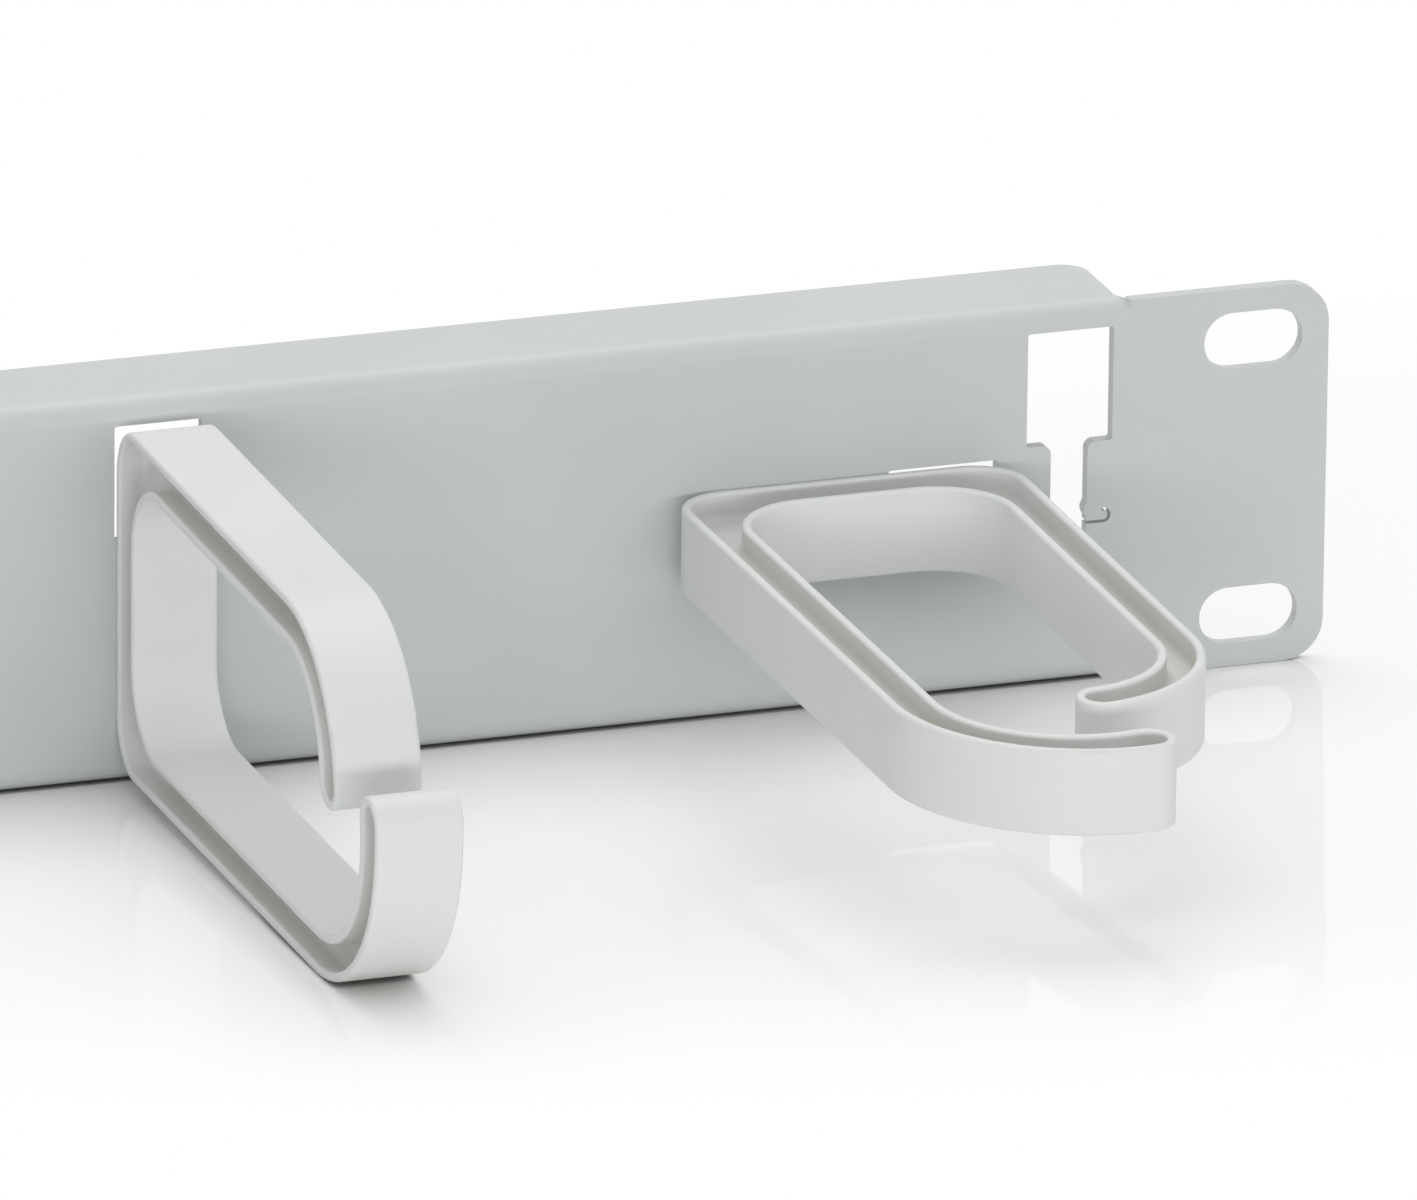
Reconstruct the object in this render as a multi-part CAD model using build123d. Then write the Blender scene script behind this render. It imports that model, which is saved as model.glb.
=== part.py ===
"""Horizontal cable manager for a 19 inch rack: a folded steel panel and five plastic cable rings.

Millimetres. X runs along the panel, Y points back into the rack, Z is up.
The origin is the centre of the four rack slots, on the rear face of the ears.
"""
import math
import os

from build123d import *

os.makedirs("parts", exist_ok=True)

# Panel, folded from one sheet
panel_width = 482.6
panel_height = 43.6
sheet = 1.5
bend_radius = 2.4
flange_depth = 13.7
ear_length = 24.15
flange_corner = 3.0
bend_runout = 1.1
ear_corner = 4.6

# Rack slots, one near each corner of the panel
slot_inset = 8.75
slot_spacing_z = 31.75
slot_length = 11.4
slot_width = 6.5

# Keyholes: s runs along the hole, from the neck towards the wide part
keyhole_width = 9.9
keyhole_start = 5.95
keyhole_end = 19.0
side_keyhole_end = 18.5
keyhole_corner = 0.3
neck_width = 4.24
neck_end = -9.2
neck_shoulder = 1.0
ring_pitch = 107.4
outer_keyhole_inset = 29.9
side_keyhole_inset = 56.7

# Sprung tongue cut beside each neck
slit_s = -3.35
slit_length = 1.93
slit_width = 0.35
slit_curl = 0.68
tongue_bulge = 0.3
tongue_s = -1.9
tongue_radius = 1.3

# Ring: s is along its back, d is the distance in front of the panel
ring_width = 9.6
ring_back_long = 19.6
ring_back_short = 20.0
back_thickness = 6.1
back_corner_outer = 6.0
back_corner_inner = 8.0
arm_thickness = 5.2
long_arm_lean = 0.017
long_front = 90.8
long_front_thickness = 5.9
long_outer_radius = 21.35
long_inner_radius = 14.7
long_tip = 7.3
mouth_gap = 7.8
short_front_thickness = 6.0
short_outer_radius = 18.0
short_inner_radius = 11.8
short_tip = 1.2
rim_width = 1.05
groove_depth = 3.2
groove_floor_fillet = 0.9
rim_fillet = 0.4

# Foot of the ring, behind the panel
foot_clearance = 0.2
neck_clearance = 0.32
stem_length = 5.6
stem_clearance = 0.2
head_thickness = 2.0
head_end = 3.7
head_side_clearance = 0.25
head_end_clearance = 0.3
head_corner = 0.8

half_height = panel_height / 2
front_y = -sheet
flange_back_y = front_y + flange_depth
inner_bend = bend_radius - sheet
flange_end = panel_width / 2 - ear_length
slot_x = panel_width / 2 - slot_inset
outer_keyhole_x = panel_width / 2 - outer_keyhole_inset
side_keyhole_x = panel_width / 2 - side_keyhole_inset
long_front_inner = long_front - long_front_thickness
short_front = long_front_inner - mouth_gap
short_front_inner = short_front - short_front_thickness


def keyhole_plane(x, direction):
    """Plane on the panel's front face with its first axis along the keyhole and its normal pointing back."""
    return Plane(origin=(x, front_y, 0), x_dir=direction, z_dir=(0, 1, 0))


def ring_plane(x, direction):
    """Plane through the middle of a ring: first axis along its back, second axis to the front."""
    along = Vector(*direction)
    normal = along.cross(Vector(0, -1, 0))
    return Plane(origin=(x, front_y, 0), x_dir=along, z_dir=normal)


def rounded_face(corners):
    """Face with straight sides and rounded corners, from a list of (first, second, radius)."""
    count = len(corners)
    stops = []
    for index in range(count):
        before = Vector(*corners[index - 1][:2])
        here = Vector(*corners[index][:2])
        after = Vector(*corners[(index + 1) % count][:2])
        radius = corners[index][2]
        to_before = (before - here).normalized()
        to_after = (after - here).normalized()
        half_angle = math.acos(max(-1.0, min(1.0, to_before.dot(to_after)))) / 2
        reach = radius / math.tan(half_angle)
        bisector = (to_before + to_after).normalized()
        middle = here + bisector * (radius / math.sin(half_angle) - radius)
        stops.append((here + to_before * reach, middle, here + to_after * reach))
    edges = []
    for index in range(count):
        start, middle, end = stops[index]
        edges.append(ThreePointArc(start, middle, end))
        edges.append(Line(end, stops[(index + 1) % count][0]))
    return make_face(edges)


def panel_section():
    """C-shaped section of the folded sheet, in Y and Z."""
    top = half_height
    bend_y = front_y + bend_radius
    bend_z = top - bend_radius
    outer = bend_radius * math.sqrt(0.5)
    inner = inner_bend * math.sqrt(0.5)
    edges = [
        Line((flange_back_y, top), (bend_y, top)),
        ThreePointArc((bend_y, top), (bend_y - outer, bend_z + outer), (front_y, bend_z)),
        Line((front_y, bend_z), (front_y, -bend_z)),
        ThreePointArc((front_y, -bend_z), (bend_y - outer, -bend_z - outer), (bend_y, -top)),
        Line((bend_y, -top), (flange_back_y, -top)),
        Line((flange_back_y, -top), (flange_back_y, -top + sheet)),
        Line((flange_back_y, -top + sheet), (bend_y, -top + sheet)),
        ThreePointArc((bend_y, -top + sheet), (bend_y - inner, -bend_z - inner), (0, -bend_z)),
        Line((0, -bend_z), (0, bend_z)),
        ThreePointArc((0, bend_z), (bend_y - inner, bend_z + inner), (bend_y, top - sheet)),
        Line((bend_y, top - sheet), (flange_back_y, top - sheet)),
        Line((flange_back_y, top - sheet), (flange_back_y, top)),
    ]
    return make_face(edges)


def bend_runout_piece(side, level):
    """Length of sheet that passes from the bend's round section to the flat ear, at one corner."""
    top = half_height
    bend_y = front_y + bend_radius
    bend_z = top - bend_radius
    outer = bend_radius * math.sqrt(0.5)
    inner = inner_bend * math.sqrt(0.5)
    round_section = [
        ThreePointArc((front_y, bend_z), (bend_y - outer, bend_z + outer), (bend_y, top)),
        Line((bend_y, top), (bend_y, top - sheet)),
        ThreePointArc((bend_y, top - sheet), (bend_y - inner, bend_z + inner), (0, bend_z)),
        Line((0, bend_z), (front_y, bend_z)),
    ]
    flat_section = [
        Line((front_y, bend_z), (front_y, top)),
        Line((front_y, top), (0, top)),
        Line((0, top), (0, bend_z)),
        Line((0, bend_z), (front_y, bend_z)),
    ]
    start = Plane.YZ.offset(flange_end) * make_face(round_section)
    end = Plane.YZ.offset(flange_end + bend_runout) * make_face(flat_section)
    piece = loft([start, end], ruled=True)
    if side < 0:
        piece = mirror(piece, about=Plane.YZ)
    if level < 0:
        piece = mirror(piece, about=Plane.XY)
    return piece


def keyhole_cutter(plane, end):
    """Everything punched out of the sheet at one keyhole, whose wide part ends at a given place."""
    half_neck = neck_width / 2
    wide = rounded_face([
        (keyhole_start, -keyhole_width / 2, keyhole_corner),
        (end, -keyhole_width / 2, keyhole_corner),
        (end, keyhole_width / 2, keyhole_corner),
        (keyhole_start, keyhole_width / 2, keyhole_corner),
    ])
    neck_length = keyhole_start + 1 - neck_end
    neck = Pos(neck_end + neck_length / 2, 0) * Rectangle(neck_length, neck_width)
    neck_round = Pos(neck_end, 0) * Circle(half_neck)
    shoulders = Sketch()
    for side in (-1, 1):
        centre = side * (half_neck + neck_shoulder)
        blank = Pos(keyhole_start - neck_shoulder / 2, side * (half_neck + neck_shoulder / 2))
        corner = blank * Rectangle(neck_shoulder, neck_shoulder)
        shoulders += corner - Pos(keyhole_start - neck_shoulder, centre) * Circle(neck_shoulder)
    slit_end = half_neck + slit_length
    slit = Pos(slit_s, half_neck + slit_length / 2 - 0.5) * Rectangle(slit_width, slit_length + 1)
    curl_radius = slit_curl + slit_width / 2
    curl = Circle(curl_radius) - Circle(curl_radius - slit_width)
    curl &= Pos(0, curl_radius / 2) * Rectangle(2 * curl_radius, curl_radius)
    curl += Pos(slit_curl, 0) * Circle(slit_width / 2)
    hook = Pos(slit_s + slit_curl, slit_end) * curl
    bulge_centre = half_neck - tongue_bulge + tongue_radius
    bulge = Pos(tongue_s, bulge_centre) * Circle(tongue_radius)
    bulge &= Pos(tongue_s, half_neck - tongue_bulge) * Rectangle(2 * tongue_radius, 2 * tongue_bulge + 0.02)
    outline = (neck + neck_round - bulge) + wide + shoulders + slit + hook
    return extrude(plane * outline, amount=sheet + 1, dir=(0, 1, 0)) + extrude(
        plane * outline, amount=1, dir=(0, -1, 0))


keyholes = [
    (0.0, (0, 0, 1), keyhole_end),
    (-ring_pitch, (0, 0, 1), keyhole_end),
    (ring_pitch, (0, 0, 1), keyhole_end),
    (-outer_keyhole_x, (0, 0, 1), keyhole_end),
    (outer_keyhole_x, (0, 0, 1), keyhole_end),
    (-side_keyhole_x, (-1, 0, 0), side_keyhole_end),
    (side_keyhole_x, (1, 0, 0), side_keyhole_end),
]

rings = {
    "ring_centre": (0.0, (0, 0, 1)),
    "ring_left": (-ring_pitch, (0, 0, 1)),
    "ring_right": (ring_pitch, (0, 0, 1)),
    "ring_left_end": (-side_keyhole_x, (-1, 0, 0)),
    "ring_right_end": (side_keyhole_x, (1, 0, 0)),
}


def build_panel():
    """Folded sheet with ears, rack slots and keyholes."""
    body = extrude(Plane.YZ * panel_section(), amount=flange_end, both=True)
    rear_corners = [
        edge for edge in body.edges().filter_by(Axis.Z)
        if abs(edge.center().Y - flange_back_y) < 0.01 and abs(abs(edge.center().X) - flange_end) < 0.01
    ]
    body = fillet(rear_corners, radius=flange_corner)
    for side in (-1, 1):
        ear = Pos(side * (flange_end + ear_length / 2), front_y / 2, 0) * Box(ear_length, sheet, panel_height)
        outer_corners = [
            edge for edge in ear.edges().filter_by(Axis.Y)
            if abs(abs(edge.center().X) - panel_width / 2) < 0.01
        ]
        ear = fillet(outer_corners, radius=ear_corner)
        for level in (-1, 1):
            corner_x = side * (flange_end + bend_runout / 2)
            corner_z = level * (half_height - bend_radius / 2)
            ear -= Pos(corner_x, front_y / 2, corner_z) * Box(bend_runout, sheet, bend_radius)
        body += ear
        for level in (-1, 1):
            body += bend_runout_piece(side, level)
    for side in (-1, 1):
        for level in (-1, 1):
            place = Pos(side * slot_x, front_y / 2, level * slot_spacing_z / 2)
            slot = extrude(Plane.XZ * SlotOverall(slot_length, slot_width), amount=sheet, both=True)
            body -= place * slot
    for x, direction, end in keyholes:
        body -= keyhole_cutter(keyhole_plane(x, direction), end)
    return body


def arc_chain(arcs):
    """Face bounded by arcs joined by straight lines; each arc is (centre, radius, first angle, last angle)."""
    edges = []
    last_end = None
    first_start = None
    for centre, radius, first, last in arcs:
        points = []
        for angle in (first, (first + last) / 2, last):
            points.append((centre[0] + radius * math.cos(angle), centre[1] + radius * math.sin(angle)))
        if last_end is not None and math.dist(last_end, points[0]) > 1e-4:
            edges.append(Line(last_end, points[0]))
        if last_end is None:
            first_start = points[0]
        edges.append(ThreePointArc(*points))
        last_end = points[2]
    edges.append(Line(last_end, first_start))
    return make_face(edges)


def tip_circle(outer, outer_radius, inner, inner_radius, tip, side):
    """Centre and radius of the round end of an arm, tangent to its outer and inner arcs."""
    radius = (outer[1] + outer_radius - inner[1] - inner_radius) / 2
    for _ in range(12):
        s = tip - side * radius
        outer_d = outer[1] + math.sqrt((outer_radius - radius) ** 2 - (s - outer[0]) ** 2)
        inner_d = inner[1] + math.sqrt((inner_radius + radius) ** 2 - (s - inner[0]) ** 2)
        radius += (outer_d - inner_d) / 2
    return (s, outer_d), radius


def bearing(start, end):
    """Angle of the line from one point to another."""
    return math.atan2(end[1] - start[1], end[0] - start[0])


def ring_outline(inset=0.0):
    """Outline of a ring in s and d, or the same line moved inwards: an open C with two curved arms."""
    lean = math.atan(long_arm_lean)
    slant = math.hypot(1, long_arm_lean)

    def along_long_arm(d, distance):
        return -ring_back_long + long_arm_lean * d + distance * slant

    short_inner = ring_back_short - arm_thickness
    short_outer_centre = (ring_back_short - short_outer_radius, short_front - short_outer_radius)
    short_inner_centre = (short_inner - short_inner_radius, short_front_inner - short_inner_radius)
    long_outer_d = long_front - long_outer_radius
    long_inner_d = long_front_inner - long_inner_radius
    long_outer_centre = (along_long_arm(long_outer_d, long_outer_radius), long_outer_d)
    long_inner_centre = (along_long_arm(long_inner_d, arm_thickness + long_inner_radius), long_inner_d)
    short_tip_centre, short_tip_radius = tip_circle(
        short_outer_centre, short_outer_radius, short_inner_centre, short_inner_radius, short_tip, -1)
    long_tip_centre, long_tip_radius = tip_circle(
        long_outer_centre, long_outer_radius, long_inner_centre, long_inner_radius, long_tip, 1)
    back_d = back_thickness + back_corner_inner
    long_back_centre = (along_long_arm(back_d, arm_thickness + back_corner_inner), back_d)
    short_back_centre = (short_inner - back_corner_inner, back_d)
    long_corner_centre = (along_long_arm(back_corner_outer, back_corner_outer), back_corner_outer)
    short_corner_centre = (ring_back_short - back_corner_outer, back_corner_outer)
    short_over = bearing(short_outer_centre, short_tip_centre)
    short_under = bearing(short_inner_centre, short_tip_centre)
    long_over = bearing(long_outer_centre, long_tip_centre)
    long_under = bearing(long_inner_centre, long_tip_centre)
    turn = math.pi
    return arc_chain([
        (short_corner_centre, back_corner_outer - inset, -turn / 2, 0),
        (short_outer_centre, short_outer_radius - inset, 0, short_over),
        (short_tip_centre, short_tip_radius - inset, short_over, short_under + turn),
        (short_inner_centre, short_inner_radius + inset, short_under, 0),
        (short_back_centre, back_corner_inner + inset, 0, -turn / 2),
        (long_back_centre, back_corner_inner + inset, -turn / 2, -turn - lean),
        (long_inner_centre, long_inner_radius + inset, turn - lean, long_under),
        (long_tip_centre, long_tip_radius - inset, long_under - turn, long_over),
        (long_outer_centre, long_outer_radius - inset, long_over, turn - lean),
        (long_corner_centre, back_corner_outer - inset, turn - lean, 3 * turn / 2),
    ])


def build_ring():
    """Cable ring with its foot, lying in the plane of s and d."""
    groove_floor = ring_width / 2 - groove_depth
    body = Pos(0, 0, -ring_width / 2) * extrude(ring_outline(), amount=ring_width)
    groove = extrude(ring_outline(rim_width), amount=groove_depth + 1)
    body -= Pos(0, 0, groove_floor) * groove
    body -= Pos(0, 0, -ring_width / 2 - 1) * groove
    floor_edges = [
        edge for edge in body.edges()
        if abs(abs(edge.center().Z) - groove_floor) < 0.01
    ]
    body = fillet(floor_edges, radius=groove_floor_fillet)
    rim_edges = [
        edge for edge in body.edges()
        if abs(abs(edge.center().Z) - ring_width / 2) < 0.01
    ]
    body = fillet(rim_edges, radius=rim_fillet)
    stem_width = neck_width - 2 * (tongue_bulge + neck_clearance)
    stem_start = neck_end + stem_clearance
    stem_depth = sheet + foot_clearance + 1
    stem = Pos(stem_start + stem_length / 2, 0.5 - stem_depth / 2 + 0.5, 0)
    body += stem * Box(stem_length, stem_depth, stem_width)
    head_length = min(keyhole_end, side_keyhole_end) - keyhole_start - 2 * head_end_clearance
    head_width = keyhole_width - 2 * head_side_clearance
    head_d = -(sheet + foot_clearance + head_thickness / 2)
    head = Box(head_length, head_thickness, head_width)
    head = fillet(head.edges().filter_by(Axis.Y), radius=head_corner)
    body += Pos(head_end - head_length / 2, head_d, 0) * head
    return body


panel = build_panel()
export_step(panel, "parts/panel.step")

ring = build_ring()
for name, (x, direction) in rings.items():
    placed = ring_plane(x, direction).location * ring
    export_step(placed, "parts/" + name + ".step")
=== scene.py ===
"""Looks of the cable manager: materials, floor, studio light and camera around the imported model."""
import math

import bpy
from mathutils import Matrix, Vector


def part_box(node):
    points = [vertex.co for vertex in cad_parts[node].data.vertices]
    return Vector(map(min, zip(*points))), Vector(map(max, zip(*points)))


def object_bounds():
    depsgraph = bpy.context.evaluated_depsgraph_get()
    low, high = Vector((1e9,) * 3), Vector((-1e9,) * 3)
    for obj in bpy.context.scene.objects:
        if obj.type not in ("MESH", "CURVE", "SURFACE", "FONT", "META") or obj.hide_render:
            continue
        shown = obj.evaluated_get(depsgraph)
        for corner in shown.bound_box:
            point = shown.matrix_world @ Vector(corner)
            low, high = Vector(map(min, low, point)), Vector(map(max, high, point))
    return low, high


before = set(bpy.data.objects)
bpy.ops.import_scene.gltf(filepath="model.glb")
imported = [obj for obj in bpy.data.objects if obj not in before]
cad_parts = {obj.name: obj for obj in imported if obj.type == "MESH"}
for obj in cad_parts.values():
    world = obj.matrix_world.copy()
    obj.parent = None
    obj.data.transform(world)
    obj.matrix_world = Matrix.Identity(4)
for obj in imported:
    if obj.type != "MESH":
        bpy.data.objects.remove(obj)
cad_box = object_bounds()

# Camera, in metres and degrees: it aims at a point on the panel's front face
aim_x = 0.170
camera_azimuth = -19.0148
camera_elevation = 19.5779
camera_roll = 0.6327
camera_distance = 2.4044
camera_right = -0.000062
camera_up = -0.007318
sensor_width = 36.0
lens = 563.28
nearest_seen = 0.1
farthest_seen = 20.0

# Panel and upright rings, as they stand on the floor: the centre of a ring's front arc lies at this
# depth in front of the panel's face and at this height above the frame's origin
front_face_y = -0.0015
ring_arc_radius = 0.02135
ring_arc_depth = 0.06945
ring_arc_height = 0.00293

# Cloudiness: the noise values at which a material reaches its dark and its light colour
cloud_low = 0.3
cloud_high = 0.7

# Powder coat of the panel: two greys, and an orange peel with a finer grain on it
paint_dark = (0.570, 0.600, 0.582)
paint_light = (0.595, 0.623, 0.602)
paint_cloud_scale = 45.0
paint_roughness = 0.42
paint_specular = 0.45
peel_scale = 900.0
peel_strength = 0.12
peel_height = 0.00012
grain_scale = 4200.0
grain_strength = 0.10
grain_height = 0.00003

# Plastic of the rings: two near whites, faint flow marks, and a painted warm shade in the narrow
# grooves, darker where little light gets in
plastic_dark = (0.722, 0.735, 0.735)
plastic_light = (0.745, 0.757, 0.757)
plastic_cloud_scale = 60.0
plastic_roughness = 0.45
plastic_specular = 0.4
flow_scale = 260.0
flow_strength = 0.10
flow_height = 0.0002
groove_reach = 0.004
groove_closed = 0.45
groove_open = 0.85
groove_painted_shade = (0.93, 0.92, 0.87)

# Floor, just below the panel: nearly white and glossy, with a thin dark line of painted contact shadow
# where something touches it
floor_size = 6.0
floor_gap = 0.00002
floor_dark = (0.94, 0.94, 0.94)
floor_light = (0.95, 0.95, 0.95)
floor_cloud_scale = 3.0
floor_cloud_low = 0.4
floor_cloud_high = 0.6
floor_roughness = 0.04
floor_specular = 1.0
line_reach = 0.0009
line_closed = 0.30
line_open = 0.75
contact_painted_shadow = (0.25, 0.25, 0.25)

# Floor's fade to white for the camera: an ellipse around the photographed half of the manager,
# with its start and end as shares of the reach, and less white where the manager is near
fade_centre_x = 0.235
fade_reach_x = 0.270
fade_reach_y = 0.150
fade_start = 0.50
fade_end = 0.95
fade_least = 0.50
contact_reach = 0.030
contact_power = 1.7

# Shading by nearby surfaces
shade_samples = 8

# Studio light, in metres and watts
light_target = (0.17, -0.03, 0.0)
top_light_place = (0.25, 0.42, 1.05)
top_light_size = (0.9, 0.9)
top_light_power = 5.2
front_light_place = (-0.1, -1.7, 0.12)
front_light_size = (1.2, 0.25)
front_light_power = 11.2
wall_strength = 0.62
backdrop_strength = 1.0

pure_white = (1.0, 1.0, 1.0)


def node_material(name):
    """New material with its shader node."""
    material = bpy.data.materials.new(name)
    material.use_nodes = True
    tree = material.node_tree
    shader = tree.nodes["Principled BSDF"]
    return material, tree, shader


def noise(tree, scale, detail):
    """Noise in the object's own coordinates, in cycles per metre."""
    texture = tree.nodes.new("ShaderNodeTexNoise")
    texture.inputs["Scale"].default_value = scale
    texture.inputs["Detail"].default_value = detail
    coordinates = tree.nodes.new("ShaderNodeTexCoord")
    tree.links.new(coordinates.outputs["Object"], texture.inputs["Vector"])
    return texture.outputs["Fac"]


def ramp(tree, value, stops):
    """Colour ramp over a value, from two (position, colour) stops."""
    node = tree.nodes.new("ShaderNodeValToRGB")
    for element, (position, colour) in zip(node.color_ramp.elements, stops):
        element.position = position
        element.color = (*colour, 1.0)
    tree.links.new(value, node.inputs["Fac"])
    return node.outputs["Color"]


def bump(tree, value, strength, distance, normal=None):
    """Bump from a value, optionally on top of another normal."""
    node = tree.nodes.new("ShaderNodeBump")
    node.inputs["Strength"].default_value = strength
    node.inputs["Distance"].default_value = distance
    tree.links.new(value, node.inputs["Height"])
    if normal is not None:
        tree.links.new(normal, node.inputs["Normal"])
    return node.outputs["Normal"]


def openness(tree, reach):
    """How open a point is to its surroundings within reach, from 0 to 1."""
    node = tree.nodes.new("ShaderNodeAmbientOcclusion")
    node.inputs["Distance"].default_value = reach
    node.samples = shade_samples
    return node.outputs["AO"]


def calculate(tree, operation, first, second):
    """Result of a calculation on an output and either another output or a number."""
    node = tree.nodes.new("ShaderNodeMath")
    node.operation = operation
    tree.links.new(first, node.inputs[0])
    if isinstance(second, float):
        node.inputs[1].default_value = second
    else:
        tree.links.new(second, node.inputs[1])
    return node.outputs["Value"]


def crevice_shade(tree, colour, reach, closed, fully_open, darkest):
    """Colour times a darker tint where other surfaces lie within reach and little light gets in:
    painted shade.
    """
    tint = ramp(tree, openness(tree, reach), [(closed, darkest), (fully_open, pure_white)])
    mix = tree.nodes.new("ShaderNodeMix")
    mix.data_type = "RGBA"
    mix.blend_type = "MULTIPLY"
    mix.inputs["Factor"].default_value = 1.0
    tree.links.new(colour, mix.inputs["A"])
    tree.links.new(tint, mix.inputs["B"])
    return mix.outputs["Result"]


def panel_paint():
    """Light grey powder coat: fine orange peel and a faint cloudiness."""
    material, tree, shader = node_material("panel_paint")
    cloud = noise(tree, paint_cloud_scale, detail=3.0)
    colour = ramp(tree, cloud, [(cloud_low, paint_dark), (cloud_high, paint_light)])
    tree.links.new(colour, shader.inputs["Base Color"])
    peel = noise(tree, peel_scale, detail=2.0)
    grain = noise(tree, grain_scale, detail=1.0)
    peel_normal = bump(tree, peel, peel_strength, peel_height)
    normal = bump(tree, grain, grain_strength, grain_height, peel_normal)
    tree.links.new(normal, shader.inputs["Normal"])
    shader.inputs["Roughness"].default_value = paint_roughness
    shader.inputs["Specular IOR Level"].default_value = paint_specular
    return material


def ring_plastic():
    """Smooth moulded plastic, bluish white, with a soft gloss and a painted warm shade in its grooves.
    """
    material, tree, shader = node_material("ring_plastic")
    cloud = noise(tree, plastic_cloud_scale, detail=2.0)
    colour = ramp(tree, cloud, [(cloud_low, plastic_dark), (cloud_high, plastic_light)])
    # Painted shade: the grooves' colour is darkened and warmed where little light gets in
    shaded = crevice_shade(tree, colour, groove_reach, groove_closed, groove_open, groove_painted_shade)
    tree.links.new(shaded, shader.inputs["Base Color"])
    flow = noise(tree, flow_scale, detail=2.0)
    tree.links.new(bump(tree, flow, flow_strength, flow_height), shader.inputs["Normal"])
    shader.inputs["Roughness"].default_value = plastic_roughness
    shader.inputs["Specular IOR Level"].default_value = plastic_specular
    return material


def floor_fade(tree, shader):
    """Mixes the floor's shader with plain white for the camera, more so away from the manager."""
    coordinates = tree.nodes.new("ShaderNodeTexCoord")
    place = tree.nodes.new("ShaderNodeMapping")
    place.inputs["Location"].default_value = (-fade_centre_x / fade_reach_x, 0.0, 0.0)
    place.inputs["Scale"].default_value = (1.0 / fade_reach_x, 1.0 / fade_reach_y, 0.0)
    tree.links.new(coordinates.outputs["Object"], place.inputs["Vector"])
    length = tree.nodes.new("ShaderNodeVectorMath")
    length.operation = "LENGTH"
    tree.links.new(place.outputs["Vector"], length.inputs[0])
    span = tree.nodes.new("ShaderNodeMapRange")
    span.interpolation_type = "SMOOTHSTEP"
    span.inputs["From Min"].default_value = fade_start
    span.inputs["From Max"].default_value = fade_end
    span.inputs["To Min"].default_value = fade_least
    tree.links.new(length.outputs["Value"], span.inputs["Value"])
    contact = calculate(tree, "POWER", openness(tree, contact_reach), contact_power)
    shaded = calculate(tree, "MULTIPLY", span.outputs["Result"], contact)
    path = tree.nodes.new("ShaderNodeLightPath")
    amount = calculate(tree, "MULTIPLY", shaded, path.outputs["Is Camera Ray"])
    white = tree.nodes.new("ShaderNodeEmission")
    mix = tree.nodes.new("ShaderNodeMixShader")
    tree.links.new(amount, mix.inputs["Fac"])
    tree.links.new(shader.outputs["BSDF"], mix.inputs[1])
    tree.links.new(white.outputs["Emission"], mix.inputs[2])
    tree.links.new(mix.outputs["Shader"], tree.nodes["Material Output"].inputs["Surface"])


def floor_finish():
    """White glossy table that mirrors the object faintly, with a painted contact shadow where something
    touches it.
    """
    material, tree, shader = node_material("floor_white")
    cloud = noise(tree, floor_cloud_scale, detail=1.0)
    colour = ramp(tree, cloud, [(floor_cloud_low, floor_dark), (floor_cloud_high, floor_light)])
    # Painted contact shadow: the floor's colour is darkened where the panel or a ring touches it
    painted_contact_line = crevice_shade(tree, colour, line_reach, line_closed, line_open, contact_painted_shadow)
    tree.links.new(painted_contact_line, shader.inputs["Base Color"])
    shader.inputs["Roughness"].default_value = floor_roughness
    shader.inputs["Specular IOR Level"].default_value = floor_specular
    floor_fade(tree, shader)
    return material


def lean_angle():
    """Angle by which the manager leans forward until the upright rings touch the floor."""
    rise = ring_arc_height - cad_box[0][2]
    distance = math.hypot(ring_arc_depth, rise)
    return math.atan2(rise, ring_arc_depth) - math.asin(ring_arc_radius / distance)


def add_floor():
    """Floor through the panel's bottom front edge and under the upright rings."""
    bpy.ops.mesh.primitive_plane_add(size=floor_size)
    floor = bpy.context.object
    floor.name = "floor"
    place = Matrix.Translation((0.0, front_face_y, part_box("panel")[0][2] - floor_gap))
    floor.matrix_world = place @ Matrix.Rotation(-lean_angle(), 4, "X")
    floor.data.materials.append(floor_finish())


def area_light(name, position, size, power):
    """Rectangular white softbox aimed at the manager."""
    data = bpy.data.lights.new(name, "AREA")
    data.shape = "RECTANGLE"
    data.size = size[0]
    data.size_y = size[1]
    data.energy = power
    light = bpy.data.objects.new(name, data)
    bpy.context.scene.collection.objects.link(light)
    light.location = position
    light.rotation_euler = (Vector(light_target) - Vector(position)).to_track_quat("-Z", "Y").to_euler()


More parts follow.
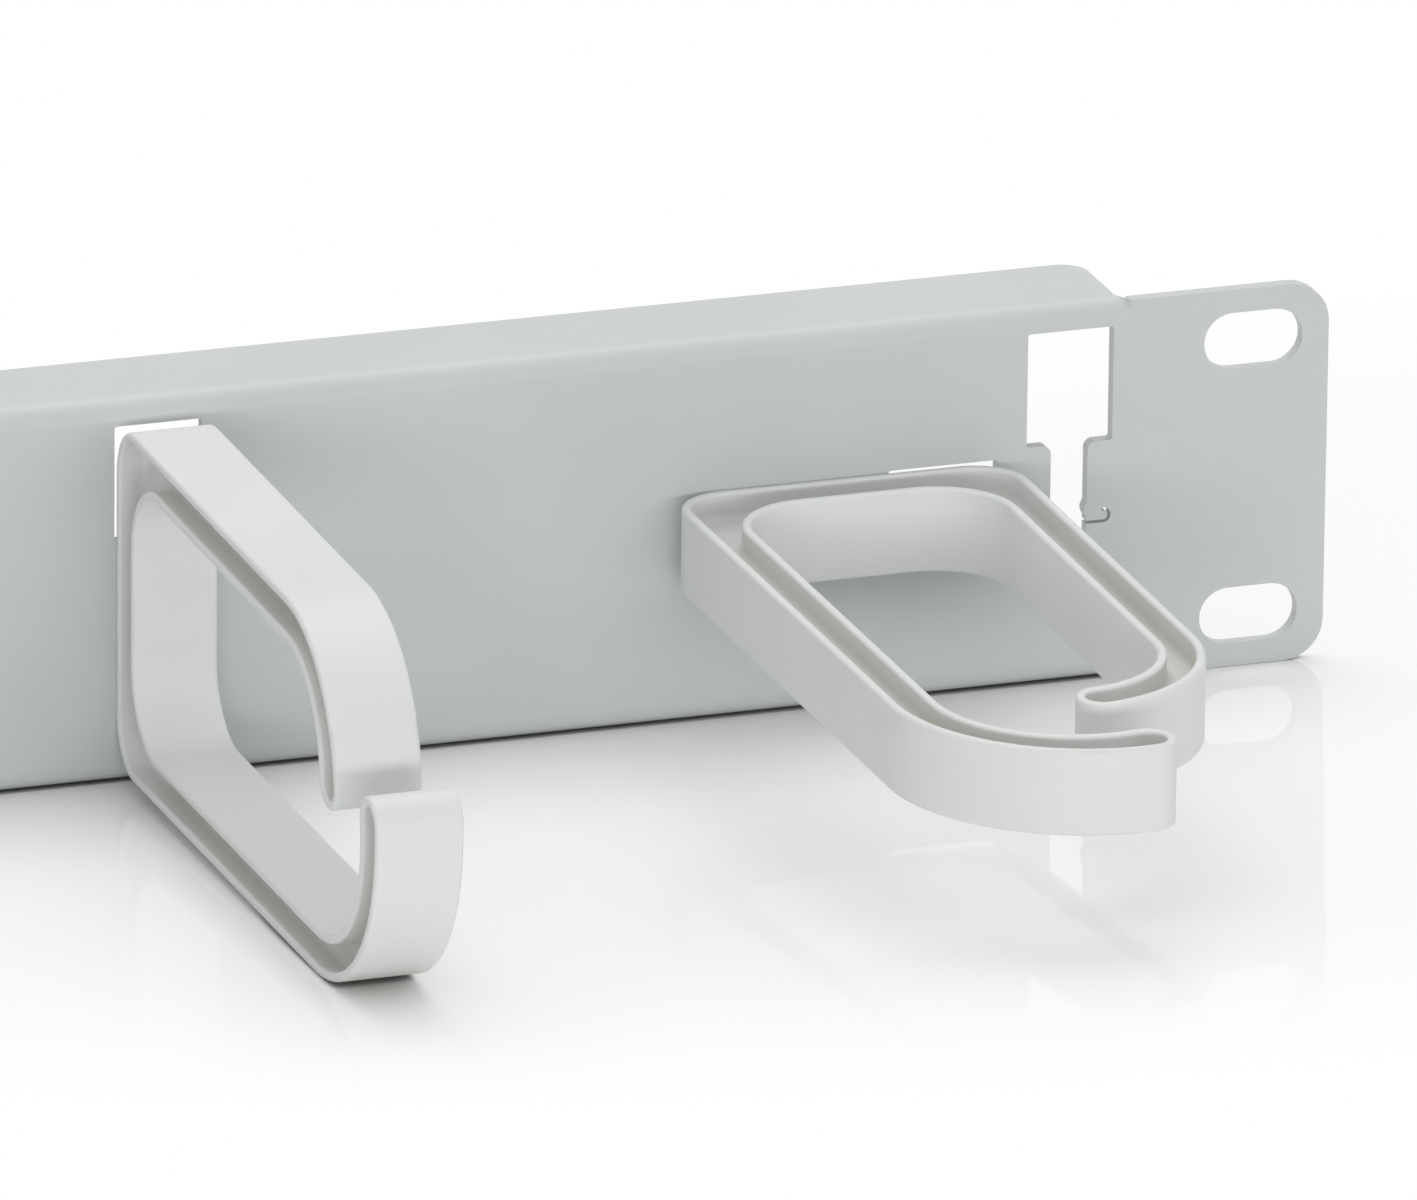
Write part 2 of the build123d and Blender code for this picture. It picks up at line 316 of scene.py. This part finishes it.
def add_world():
    """White backdrop for the camera and for reflections, plain studio walls for everything else."""
    world = bpy.data.worlds.new("studio")
    bpy.context.scene.world = world
    world.use_nodes = True
    tree = world.node_tree
    tree.nodes.clear()
    output = tree.nodes.new("ShaderNodeOutputWorld")
    mix = tree.nodes.new("ShaderNodeMixShader")
    walls = tree.nodes.new("ShaderNodeBackground")
    backdrop = tree.nodes.new("ShaderNodeBackground")
    path = tree.nodes.new("ShaderNodeLightPath")
    seen = calculate(tree, "MAXIMUM", path.outputs["Is Camera Ray"], path.outputs["Is Glossy Ray"])
    for node, strength in ((walls, wall_strength), (backdrop, backdrop_strength)):
        node.inputs["Color"].default_value = (*pure_white, 1.0)
        node.inputs["Strength"].default_value = strength
    tree.links.new(seen, mix.inputs["Fac"])
    tree.links.new(walls.outputs["Background"], mix.inputs[1])
    tree.links.new(backdrop.outputs["Background"], mix.inputs[2])
    tree.links.new(mix.outputs["Shader"], output.inputs["Surface"])


def add_camera():
    """Long-lens camera with the photograph's direction and framing."""
    azimuth = math.radians(camera_azimuth)
    elevation = math.radians(camera_elevation)
    roll = math.radians(camera_roll)
    back = Vector((
        math.sin(azimuth) * math.cos(elevation),
        -math.cos(azimuth) * math.cos(elevation),
        math.sin(elevation),
    ))
    level = Vector((math.cos(azimuth), math.sin(azimuth), 0.0))
    upright = back.cross(level)
    right = math.cos(roll) * level + math.sin(roll) * upright
    up = math.cos(roll) * upright - math.sin(roll) * level
    aim = Vector((aim_x, front_face_y, 0.0))
    place = aim + camera_right * right + camera_up * up + camera_distance * back
    data = bpy.data.cameras.new("camera")
    data.sensor_fit = "HORIZONTAL"
    data.sensor_width = sensor_width
    data.lens = lens
    data.clip_start = nearest_seen
    data.clip_end = farthest_seen
    camera = bpy.data.objects.new("camera", data)
    bpy.context.scene.collection.objects.link(camera)
    turn = Matrix((right, up, back)).transposed().to_4x4()
    camera.matrix_world = Matrix.Translation(place) @ turn
    bpy.context.scene.camera = camera


def paint_nodes(nodes):
    """Gives the panel its paint and every ring its plastic."""
    grey = panel_paint()
    white = ring_plastic()
    for name in nodes:
        mesh = nodes[name].data
        mesh.materials.clear()
        mesh.materials.append(grey if name == "panel" else white)


paint_nodes(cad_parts)
add_floor()
area_light("softbox_top", top_light_place, top_light_size, top_light_power)
area_light("softbox_front", front_light_place, front_light_size, front_light_power)
add_world()
add_camera()
bpy.context.scene.view_settings.view_transform = "Standard"
